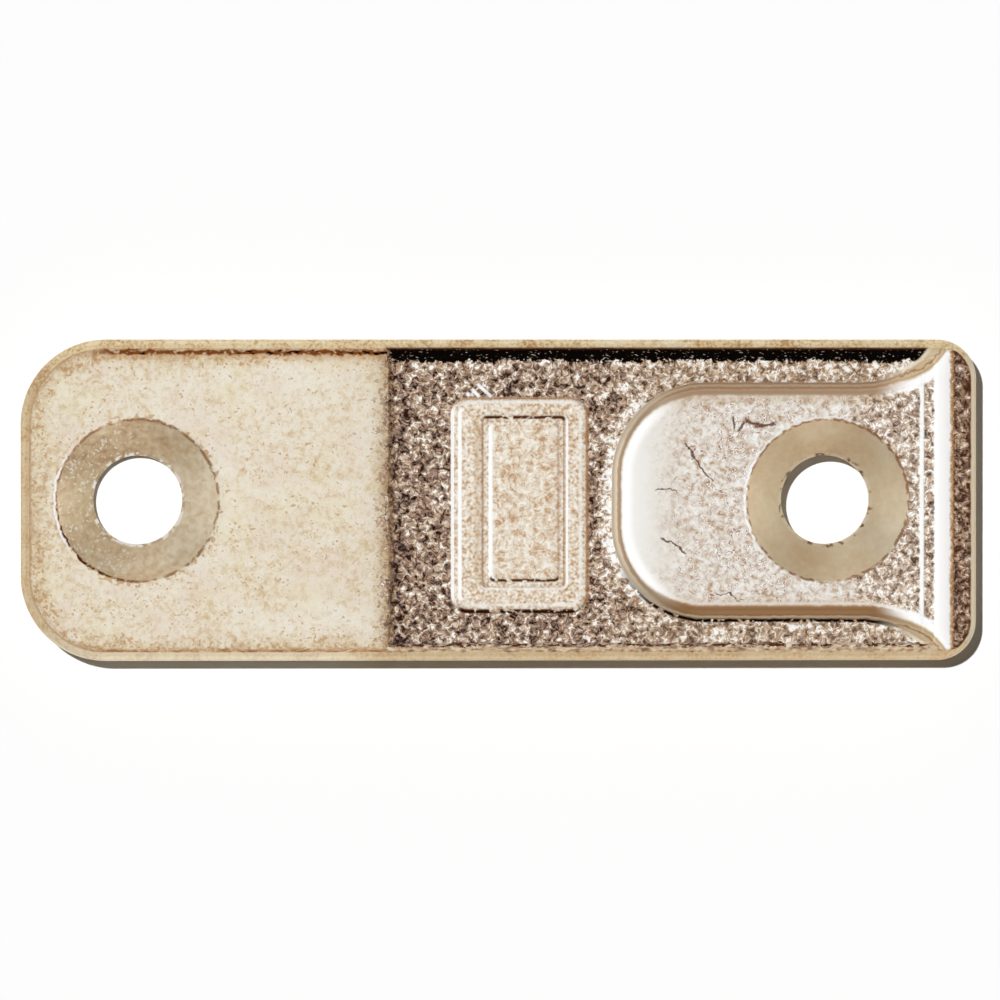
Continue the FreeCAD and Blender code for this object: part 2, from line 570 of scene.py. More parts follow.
@dataclass
class ScrewHole:
    """A bore with a countersink whose full radius lies on the surface round it."""

    x: float
    surface: float
    radius: float = 2.32
    sink_radius: float = 4.265
    edge_blend: float = 0.06
    segments: int = 180
    bore_reaches: tuple[float, ...] = (0.05, 0.14)
    sink_reaches: tuple[float, ...] = (0, -0.06, 0.06, -0.14, 0.14)

    def reach(self, x: np.ndarray, y: np.ndarray) -> np.ndarray:
        """Distance from the hole's axis."""
        return np.hypot(x - self.x, y)

    def height(self, x: np.ndarray, y: np.ndarray) -> np.ndarray:
        """Height of the cone, carried on above the surface."""
        return self.surface + self.reach(x, y) - self.sink_radius

    def ring(self, radius: float) -> np.ndarray:
        """Points round the hole, anticlockwise."""
        angles = np.linspace(0, math.tau, self.segments, endpoint=False)
        return np.column_stack((self.x + radius * np.cos(angles), radius * np.sin(angles)))

    def rows(self) -> Iterable[np.ndarray]:
        """Rows of points at the bore's edge and at the countersink's."""
        for reach in self.bore_reaches:
            yield self.ring(self.radius + reach)
        for reach in self.sink_reaches:
            yield self.ring(self.sink_radius + reach)


class PointBed:
    """Places on the plate for a mesh's vertices. What is laid first stays, and later ones keep clear of it."""

    cell = 0.2

    def __init__(self) -> None:
        """Starts with no place taken."""
        self.points: list[tuple[float, float]] = []
        self.cells: dict[tuple[int, int], list[tuple[float, float]]] = {}

    def key(self, x: float, y: float) -> tuple[int, int]:
        """The cell that a place lies in."""
        return math.floor(x / self.cell), math.floor(y / self.cell)

    def is_clear(self, x: float, y: float, clearance: float) -> bool:
        """Whether no place is taken within the clearance."""
        column, row = self.key(x, y)
        for i in (column - 1, column, column + 1):
            for j in (row - 1, row, row + 1):
                for other in self.cells.get((i, j), ()):
                    if math.dist(other, (x, y)) < clearance:
                        return False
        return True

    def lay(self, points: np.ndarray, clearance: float) -> list[int]:
        """Lays each place that is clear of all that was laid before this call.

        Args:
            points: rows of x and y.
            clearance: the least distance to what was laid before.

        Returns:
            The numbers of the places that were laid.
        """
        kept = [(x, y) for x, y in points.tolist() if self.is_clear(x, y, clearance)]
        first = len(self.points)
        self.points += kept
        for point in kept:
            self.cells.setdefault(self.key(*point), []).append(point)
        return list(range(first, len(self.points)))


@dataclass
class Skin:
    """A mesh under construction.

    Attributes:
        verts: the vertices, of which the front's come first.
        sources: for each vertex, the number of the front's vertex whose gauges it shares.
        faces: the faces, as vertex numbers.
    """

    verts: list[tuple[float, float, float]]
    sources: list[int]
    faces: list[list[int]] = field(default_factory=list)

    def drop(self, upper: list[int], points: np.ndarray, z: float, inward: bool) -> list[int]:
        """Adds a closed row of vertices under another one and joins the two with quads.

        Args:
            upper: the numbers of the row above.
            points: places of the new row, one for each vertex above.
            z: height of the new row.
            inward: whether the quads face inwards, as in a bore.

        Returns:
            The new row's numbers.
        """
        first = len(self.verts)
        self.verts += [(x, y, z) for x, y in points.tolist()]
        self.sources += [self.sources[number] for number in upper]
        lower = list(range(first, len(self.verts)))
        for i in range(len(upper)):
            quad = [upper[i - 1], lower[i - 1], lower[i], upper[i]]
            self.faces.append(quad[::-1] if inward else quad)
        return lower

    def fill(self, numbers: list[int], loops: list[list[int]], is_metal: Test, upward: bool) -> None:
        """Fills the space between closed loops with triangles.

        Args:
            numbers: the vertices to use, the loops' own among them.
            loops: the borders, as vertex numbers.
            is_metal: says for each place whether metal is there.
            upward: whether the triangles face up.
        """
        index = {number: i for i, number in enumerate(numbers)}
        edges = [(index[loop[i - 1]], index[loop[i]]) for loop in loops for i in range(len(loop))]
        plan = [Vector(self.verts[number][:2]) for number in numbers]
        placed, _, triangles, sources, _, _ = delaunay_2d_cdt(plan, edges, [], 0, 1e-7, True)
        if len(placed) != len(plan):
            raise ValueError("two points of a flat fill lie on each other")
        corners = np.array([source[0] for source in sources])[np.array(triangles)]
        places = np.array([tuple(point) for point in plan])
        middles = places[corners].mean(axis=1)
        kept = corners[is_metal(middles[:, 0], middles[:, 1])]
        order = 1 if upward else -1
        self.faces += [[numbers[i] for i in corner[::order]] for corner in kept.tolist()]


@dataclass
class StrikePlate:
    """The plate, in one piece: its features, its mesh and its zones."""

    outline: Outline
    land_height: float
    name: str = "strike_plate_skin"
    rim_step: float = 0.15
    row_step: float = 0.1
    land_step: float = 0.08
    pocket_step: float = 0.135
    ramp_step: float = 0.2
    back_edge_round: float = 0.12
    bore_edge_round: float = 0.06
    grain_depth: float = 0.03

    def __post_init__(self) -> None:
        """Sets out the features from the outline and from each other."""
        self.body = Body(self.outline, self.land_height)
        self.ramp = Ramp(self.outline, self.land_height)
        self.pocket = Pocket(self.outline, self.land_height)
        self.lead_in = LeadIn(self.outline, self.body.shoulder_height, self.pocket.floor_height)
        self.cartouche = Cartouche(self.pocket.end_x)
        tail_screw_x = self.outline.tail_x + 6.1
        mouth_screw_x = self.outline.mouth_x - 7.9
        self.tail_hole = ScrewHole(tail_screw_x, self.ramp.surface(tail_screw_x))
        self.mouth_hole = ScrewHole(mouth_screw_x, self.pocket.floor_height)
        self.holes = (self.tail_hole, self.mouth_hole)

    @classmethod
    def from_frame(cls, node: str) -> "StrikePlate":
        """The plate at the size of the solid that it covers."""
        low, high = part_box(node)
        size = (high - low) / M_PER_MM
        return cls(Outline(size.x, size.y), size.z)

    def top(self, x: np.ndarray, y: np.ndarray) -> np.ndarray:
        """Height of the top surfaces at each place, before the sides and the holes."""
        pocket_inset = self.pocket.inset(x, y)
        top = self.ramp.height(x)
        sunk = soft_min(top, self.pocket.height(pocket_inset, x), self.pocket.edge_blend)
        top = np.where(pocket_inset > -0.3, sunk, top)
        top = soft_min(top, self.lead_in.height(x), self.lead_in.blend)
        groove, panel = self.cartouche.sink(x, y)
        return top - self.cartouche.ring_depth * groove - self.cartouche.field_depth * panel

    def height(self, x: np.ndarray, y: np.ndarray) -> np.ndarray:
        """Height of the front at each place, with its edges softened."""
        height = self.body.shape(self.outline.inset(x, y), self.top(x, y))
        for hole in self.holes:
            height = soft_min(height, hole.height(x, y), hole.edge_blend)
        return height

    def is_metal(self, x: np.ndarray, y: np.ndarray) -> np.ndarray:
        """Whether each place lies on the plate and clear of the bores."""
        metal = self.outline.inset(x, y) > 0
        for hole in self.holes:
            metal &= hole.reach(x, y) > hole.radius * 0.9999
        return metal

    def back_is_metal(self, x: np.ndarray, y: np.ndarray) -> np.ndarray:
        """Whether each place lies on the flat of the back."""
        metal = self.outline.inset(x, y) > self.back_edge_round
        for hole in self.holes:
            metal &= hole.reach(x, y) > (hole.radius + self.bore_edge_round) * 0.9999
        return metal

    def even_fill(self, low_x: float, high_x: float, step: float) -> np.ndarray:
        """An even fill of points between two places along the plate, inside the rim and clear of the bores."""
        rows = []
        for i, y in enumerate(np.arange(-self.outline.width / 2, self.outline.width / 2, step * math.sqrt(3) / 2)):
            xs = np.arange(low_x + (i % 2) * step / 2, high_x, step)
            rows.append(np.column_stack((xs, np.full_like(xs, y))))
        points = np.vstack(rows)
        x, y = points[:, 0], points[:, 1]
        return points[self.is_metal(x, y) & (self.outline.inset(x, y) > self.body.shoulder_width)]

    def lay_front(self, bed: PointBed) -> list[list[int]]:
        """Lays the front's points: borders first, then rows along the edges, then the even fill.

        Args:
            bed: takes the points.

        Returns:
            The numbers of the outline's points and of each bore's, in order round each.
        """
        borders = [bed.lay(self.outline.loop(0, self.rim_step), 0)]
        borders += [bed.lay(hole.ring(hole.radius), 0) for hole in self.holes]
        across = self.outline.width / 2 - self.body.shoulder_width
        rows = [(row, 0.012) for row in self.body.rows(self.rim_step)]
        for hole in self.holes:
            rows += [(row, 0.045) for row in hole.rows()]
        for row in self.pocket.rows(self.row_step):
            inside = self.outline.inset(row[:, 0], row[:, 1]) > self.body.shoulder_width
            rows.append((row[inside], 0.035))
        rows += [(row, 0.045) for row in self.ramp.rows(across, self.row_step)]
        rows += [(row, 0.045) for row in self.lead_in.rows(across, self.row_step)]
        rows += [(row, 0.045) for row in self.cartouche.rows(self.row_step)]
        for points, clearance in rows:
            bed.lay(points, clearance)
        pocket_end, sill = self.pocket.end_x, self.lead_in.foot_x
        land = self.even_fill(self.ramp.foot_x, self.outline.mouth_x, self.land_step)
        pocket_inset = self.pocket.inset(land[:, 0], land[:, 1])
        land = land[(pocket_inset < self.pocket.floor_start) | (land[:, 0] > sill)]
        fills = (
            (land, self.land_step),
            (self.even_fill(pocket_end, sill, self.pocket_step), self.pocket_step),
            (self.even_fill(self.outline.tail_x, self.ramp.foot_x, self.ramp_step), self.ramp_step),
        )
        for points, step in fills:
            bed.lay(points, step * 0.7)
        return borders

    def gauges(self, x: np.ndarray, y: np.ndarray) -> dict[Gauge, np.ndarray]:
        """What the finish needs to know at each place of the front."""
        inset = self.outline.inset(x, y)
        groove, island, panel = self.cartouche.insets(x, y)
        gauges = {
            Gauge.INSET: inset,
            Gauge.RISE: self.body.rise(inset, self.top(x, y)),
            Gauge.POCKET: self.pocket.inset(x, y),
            Gauge.GROOVE: groove,
            Gauge.ISLAND: island,
            Gauge.PANEL: panel,
        }
        gauges[Gauge.ROUGH] = self.roughness(x, y, gauges)
        return gauges

    def roughness(self, x: np.ndarray, y: np.ndarray, gauges: dict[Gauge, np.ndarray]) -> np.ndarray:
        """How rough the cast surface is at each place: 1 on the land, 0 where it is coined or machined."""
        outside = ease(0.02, -0.3, gauges[Gauge.POCKET])
        clear = ease(0.05, -0.25, gauges[Gauge.GROOVE])
        land = ease(-0.1, 0.25, x - self.ramp.crest_x) * outside * clear
        sill = ease(0, 0.15, x - self.lead_in.foot_x) * ease(0.2, 0.4, gauges[Gauge.INSET])
        worn = ease(0, 0.25, gauges[Gauge.POCKET] - self.pocket.floor_start) * ease(17, 20, x) * 0.35
        worn = worn * ease(0, -0.2, x - self.lead_in.top_x)
        inside = ease(-0.2, 0.3, gauges[Gauge.RISE])
        for hole in self.holes:
            worn = worn * ease(0, 0.3, hole.reach(x, y) - hole.sink_radius)
        return np.maximum(np.maximum(land * ease(0, -0.15, x - self.lead_in.top_x), sill), worn) * inside

    def roughen(self, x: np.ndarray, y: np.ndarray, rough: np.ndarray) -> np.ndarray:
        """How far the cast surface lies under the clean one at each place."""
        grain = perlin(x, y, 2.9, 4.0) * 0.5 + perlin(x, y, 5.2, 9.0) * 0.5
        return self.grain_depth * rough * (0.5 - 0.5 * np.clip(grain * 2, -1, 1))

    def build(self) -> bpy.types.Object:
        """Makes the plate's mesh, stores its zones and puts it in the scene.

        Returns:
            The new object.
        """
        bed = PointBed()
        borders = self.lay_front(bed)
        places = np.array(bed.points)
        x, y = places[:, 0], places[:, 1]
        gauges = self.gauges(x, y)
        heights = self.height(x, y) - self.roughen(x, y, gauges[Gauge.ROUGH])
        heights[borders[0]] = self.body.edge_height
        front = [tuple(vert) for vert in np.column_stack((places, heights)).tolist()]
        skin = Skin(front, list(range(len(front))))
        skin.fill(list(range(len(front))), borders, self.is_metal, True)
        back_loops = [self.add_edge(skin, borders[0])]
        back_loops += [self.add_bore(skin, hole, rim) for hole, rim in zip(self.holes, borders[1:])]
        skin.fill([number for loop in back_loops for number in loop], back_loops, self.back_is_metal, False)
        mesh = bpy.data.meshes.new(self.name)
        mesh.from_pydata((np.array(skin.verts) * M_PER_MM).tolist(), [], skin.faces)
        mesh.shade_smooth()
        for gauge, values in gauges.items():
            shared = values[skin.sources].astype(np.float32)
            mesh.attributes.new(gauge.value, "FLOAT", "POINT").data.foreach_set("value", shared)
        facing = self.pocket.facing(x, y)[skin.sources].astype(np.float32)
        mesh.attributes.new(POCKET_FACING, "FLOAT_VECTOR", "POINT").data.foreach_set("vector", facing.ravel())
        plate = bpy.data.objects.new(self.name, mesh)
        bpy.context.scene.collection.objects.link(plate)
        return plate

    def add_edge(self, skin: Skin, rim: list[int]) -> list[int]:
        """Adds the plate's edge down to its back and gives the last row's numbers."""
        soft = self.back_edge_round
        for inset, z in ((0, self.body.edge_height / 2), (0, soft), (soft * 0.3, soft * 0.3), (soft, 0)):
            rim = skin.drop(rim, self.outline.loop(inset, self.rim_step), z, False)
        return rim

    def add_bore(self, skin: Skin, hole: ScrewHole, rim: list[int]) -> list[int]:
        """Adds a bore's wall down to the back and gives the last row's numbers."""
        for grow, z in ((0, self.bore_edge_round), (self.bore_edge_round, 0)):
            rim = skin.drop(rim, hole.ring(hole.radius + grow), z, True)
        return rim


class Wire:
    """A socket's value, so that shader maths reads as an expression."""

    def __init__(self, sheet: "ShaderSheet", socket: bpy.types.NodeSocket) -> None:
        """Wraps a socket of a node on the sheet."""
        self.sheet = sheet
        self.socket = socket

    def math(self, operation: str, *values: "float | Wire") -> "Wire":
        """A Math node on this value and others."""
        return self.sheet.node("ShaderNodeMath", {"operation": operation}, dict(enumerate((self, *values))))

    def __add__(self, other: "float | Wire") -> "Wire":
        """This value plus another."""
        return self.math("ADD", other)

    __radd__ = __add__

    def __sub__(self, other: "float | Wire") -> "Wire":
        """This value less another."""
        return self.math("SUBTRACT", other)

    def __rsub__(self, other: float) -> "Wire":
        """A number less this value."""
        return self.sheet.node("ShaderNodeMath", {"operation": "SUBTRACT"}, {0: other, 1: self})

    def __mul__(self, other: "float | Wire") -> "Wire":
        """This value times another."""
        return self.math("MULTIPLY", other)

    __rmul__ = __mul__

    def __truediv__(self, other: "float | Wire") -> "Wire":
        """This value divided by another."""
        return self.math("DIVIDE", other)

    def __abs__(self) -> "Wire":
        """This value without its sign."""
        return self.math("ABSOLUTE")

    def largest(self, other: "float | Wire") -> "Wire":
        """The larger of this value and another."""
        return self.math("MAXIMUM", other)

    def ease(self, low: float, high: float) -> "Wire":
        """Rises smoothly from 0 where this value is low to 1 where it is high."""
        settings = {"interpolation_type": "SMOOTHSTEP"}
        return self.sheet.node("ShaderNodeMapRange", settings, {"Value": self, "From Min": low, "From Max": high})

    def slide(self, low: float, high: float) -> "Wire":
        """Rises evenly from 0 where this value is low to 1 where it is high."""
        return self.sheet.node("ShaderNodeMapRange", {}, {"Value": self, "From Min": low, "From Max": high})

    def band(self, start: float, end: float, soft: float) -> "Wire":
        """Is 1 where this value lies between start and end, with soft edges."""
        return self.ease(start - soft, start + soft) * self.ease(end + soft, end - soft)

    def mix(self, low: "Colour | Wire", high: "Colour | Wire") -> "Wire":
        """A colour that goes from one to another as this value goes from 0 to 1."""
        return self.sheet.node("ShaderNodeMix", {"data_type": "RGBA"}, {0: self, 6: low, 7: high}, 2)

    def blend(self, low: "float | Wire", high: "float | Wire") -> "float | Wire":
        """A number that goes from one to another as this value goes from 0 to 1."""
        if low is high or (isinstance(low, float) and low == high):
            return low
        return self.sheet.node("ShaderNodeMix", {"data_type": "FLOAT"}, {0: self, 2: low, 3: high})


class ShaderSheet:
    """A node tree, and the one way that nodes are added to it."""

    def __init__(self, owner: bpy.types.Material | bpy.types.World) -> None:
        """Opens the owner's node tree and empties it."""
        owner.use_nodes = True
        self.tree = owner.node_tree
        self.tree.nodes.clear()

    def add(self, kind: str, settings: dict, inputs: dict) -> bpy.types.Node:
        """Adds a node, sets it and then fills its sockets with values or links."""
        made = self.tree.nodes.new(kind)
        for name, value in settings.items():
            setattr(made, name, value)
        for name, value in inputs.items():
            if isinstance(value, Wire):
                self.tree.links.new(value.socket, made.inputs[name])
            else:
                made.inputs[name].default_value = value
        return made

    def node(self, kind: str, settings: dict, inputs: dict, output: int | str = 0) -> Wire:
        """Adds a node and gives the value of one of its outputs.

        Args:
            kind: the node's type.
            settings: its own settings, set first.
            inputs: a value or a wire for each socket, by name or number.
            output: the output to give, by name or number.

        Returns:
            The output's wire.
        """
        return Wire(self, self.add(kind, settings, inputs).outputs[output])


class Spot:
    """Where on the plate the finish is being worked out, in millimetres.

    Attributes:
        x, y, z: the place.
        gauges: the values that the mesh stores.
        facing_x, facing_y: the direction that the pocket's wall faces.
        stain, patch, grain, dust: noise about 0, mostly from -2 to 2, from the coarsest to the finest.
        fleck: the cast grain, clouds crossed by short light and dark curls, also about 0.
    """

    def __init__(self, sheet: ShaderSheet) -> None:
        """Reads the place and the mesh's gauges, and spreads the noise."""
        self.sheet = sheet
        where = sheet.node("ShaderNodeTexCoord", {}, {}, "Object")
        self.place = self.vector("SCALE", {0: where, "Scale": 1 / M_PER_MM})
        self.x, self.y, self.z = self.split(self.place)
        self.gauges = {gauge: self.stored(gauge.value, "Fac") for gauge in Gauge}
        self.facing_x, self.facing_y, _ = self.split(self.stored(POCKET_FACING, "Vector"))
        self.stain = self.noise(0.4, 2.0, 0.3, 1.0, 1.0)
        self.patch = self.noise(1.2, 2.0, 0.5, 2.0, 1.0)
        self.grain = self.noise(3.0, 1.0, 0.4, 3.0, 0.4)
        self.dust = self.noise(6.5, 0.0, 0.3, 4.0, 0.6)
        self.wander = self.patch[2] * 0.35 + self.grain[2] * 0.15
        light, dark = self.curls(self.grain[1], 0.0, 0.75), self.curls(self.grain[2], 0.0, 0.7)
        self.fleck = self.grain[0] * 0.65 + (light - dark) * 1.15

    def vector(self, operation: str, inputs: dict, output: str = "Vector") -> Wire:
        """A Vector Math node."""
        return self.sheet.node("ShaderNodeVectorMath", {"operation": operation}, inputs, output)

    def split(self, vector: Wire) -> tuple[Wire, ...]:
        """The three parts of a vector."""
        node = self.sheet.add("ShaderNodeSeparateXYZ", {}, {"Vector": vector})
        return tuple(Wire(self.sheet, socket) for socket in node.outputs)

    def stored(self, name: str, output: str) -> Wire:
        """A value stored on the mesh."""
        return self.sheet.node("ShaderNodeAttribute", {"attribute_name": name}, {}, output)

    def noise(self, per_mm: float, detail: float, warp: float, seed: float, rise: float) -> tuple[Wire, ...]:
        """Three patterns of soft noise about 0, with a spread of about 1.

        Args:
            per_mm: how many clouds go into a millimetre.
            detail: how many finer layers are added.
            warp: how much the clouds are drawn into curls.
            seed: picks the patterns.
            rise: how much the height counts: below 1 the clouds are drawn out upwards.

        Returns:
            The three patterns.
        """
        shift = (seed * 17.3, seed * -11.9, seed * 5.7)
        moved = self.vector("MULTIPLY_ADD", {0: self.place, 1: (1.0, 1.0, rise), 2: shift})
        inputs = {"Vector": moved, "Scale": per_mm, "Detail": detail, "Distortion": warp}
        node = self.sheet.add("ShaderNodeTexNoise", {}, inputs)
        _, second, third = self.split(Wire(self.sheet, node.outputs["Color"]))
        parts = (Wire(self.sheet, node.outputs["Fac"]), second, third)
        return tuple(part.math("MULTIPLY_ADD", 1 / NOISE_SPREAD, -0.5 / NOISE_SPREAD) for part in parts)

    def reach(self, x: float | Wire, y: float = 0.0) -> Wire:
        """Distance from a place on the plate."""
        here = self.sheet.node("ShaderNodeCombineXYZ", {}, {"X": self.x - x, "Y": self.y - y})
        return self.vector("LENGTH", {0: here}, "Value")

    def curls(self, cloud: Wire, level: float, width: float) -> Wire:
        """Small curled lines along the edges of a noise's clouds."""
        return abs(cloud - level).ease(width, width * 0.3)

    def past(self, place: Place, east: float, north: float) -> Wire:
        """How far past a place it lies, in a direction."""
        offset = place[0] * east + place[1] * north
        return self.x.math("MULTIPLY_ADD", east, self.y.math("MULTIPLY_ADD", north, -offset))

    def stroke(self, start: Place, end: Place, width: float, wobble: float) -> Wire:
        """The share of a thin stroke from one place to another.

        Args:
            start, end: where it starts and ends.
            width: half of its width.
            wobble: how far it wanders to its sides.

        Returns:
            1 on the stroke and 0 off it.
        """
        run_x, run_y = end[0] - start[0], end[1] - start[1]
        length = math.hypot(run_x, run_y)
        middle = (start[0] + run_x / 2, start[1] + run_y / 2)
        along = self.past(middle, run_x / length, run_y / length)
        across = self.past(middle, -run_y / length, run_x / length)
        inside = abs(along).ease(length / 2 + 0.05, length / 2 - 0.1)
        return abs(across - self.wander * wobble).ease(width, width * 0.3) * inside

    def strokes(self, marks: tuple) -> Wire:
        """The share of several strokes, each given by its start, end, width and wobble."""
        share = self.stroke(*marks[0])
        for mark in marks[1:]:
            share = share.largest(self.stroke(*mark))
        return share


@dataclass(frozen=True)
class Look:
    """What one kind of surface looks like.

    Attributes:
        colour: its colour.
        roughness, metallic: its shine.
        matt: the share that is dull, without any shine: dirt in places, painted shade in others.
    """

    colour: Colour | Wire
    roughness: float | Wire
    metallic: float | Wire
    matt: float | Wire = 0.0

    def under(self, share: Wire, over: "Look") -> "Look":
        """This look, with another one over its share of the surface."""
        return Look(
            share.mix(self.colour, over.colour),
            share.blend(self.roughness, over.roughness),
            share.blend(self.metallic, over.metallic),
            share.blend(self.matt, over.matt),
        )

    def with_stain_light_and_shade(self, share: Wire, colour: Colour) -> "Look":
        """This look, with its colour changed on a share of the surface: real stains in some places, painted
        highlights and shade in others.
        """
        return replace(self, colour=share.mix(self.colour, colour))

    def with_dirt_and_shade(self, share: Wire, colour: Colour) -> "Look":
        """This look, dull and recoloured on a share of the surface: real dirt in some places, painted shade in
        others.
        """
        return replace(self, colour=share.mix(self.colour, colour), matt=share.blend(self.matt, 1.0))


@dataclass(frozen=True)
class Tints:
    """The colours of a speckled surface.

    Attributes:
        dark, middle, light: of its dark flecks, of what lies between, and of its light flecks.
    """

    dark: Colour
    middle: Colour
    light: Colour

    def at(self, level: Wire) -> Wire:
        """The colour where the noise has a level, from about -2 in the dark flecks to 2 in the light ones."""
        return level.slide(0.0, 1.8).mix(level.slide(-1.8, 0.0).mix(self.dark, self.middle), self.light)


@dataclass(frozen=True)
class Palette:
    """The plating's colours, as they show in plain light."""

    plating: Tints = Tints(srgb(214, 190, 150), srgb(235, 223, 201), srgb(242, 236, 222))
    worn_plating: Tints = Tints(srgb(160, 110, 62), srgb(213, 188, 146), srgb(236, 222, 196))
    cast: Tints = Tints(srgb(42, 15, 6), srgb(160, 127, 101), srgb(239, 226, 205))
    rim: Tints = Tints(srgb(186, 144, 92), srgb(228, 205, 160), srgb(238, 224, 196))
    side: Tints = Tints(srgb(104, 64, 30), srgb(206, 174, 132), srgb(234, 220, 194))
    floor: Tints = Tints(srgb(176, 140, 106), srgb(223, 214, 202), srgb(243, 242, 239))
    ring: Tints = Tints(srgb(188, 146, 104), srgb(225, 211, 190), srgb(246, 241, 231))
    cone: Tints = Tints(srgb(164, 130, 96), srgb(203, 180, 146), srgb(226, 215, 190))
    pink: Colour = srgb(228, 206, 190)
    yellow: Colour = srgb(236, 227, 188)
    cream: Colour = srgb(234, 221, 196)
    tan: Colour = srgb(196, 168, 130)
    amber: Colour = srgb(190, 144, 86)
    sienna: Colour = srgb(156, 106, 58)
    rust: Colour = srgb(136, 76, 34)
    umber: Colour = srgb(92, 48, 22)
    black: Colour = srgb(12, 8, 6)
    slate: Colour = srgb(108, 104, 112)
    white: Colour = srgb(254, 254, 253)
    pale: Colour = srgb(242, 241, 236)
    sand: Colour = srgb(218, 195, 156)
    bone: Colour = srgb(193, 178, 152)
    # The pocket walls' painted light and shade: shaded, half-lit and lit copies of one plating colour.
    wall_shaded: Colour = srgb(148, 107, 62)
    wall_half_lit: Colour = srgb(170, 141, 110)
    wall_lit: Colour = srgb(212, 197, 174)
    olive: Colour = srgb(198, 192, 156)


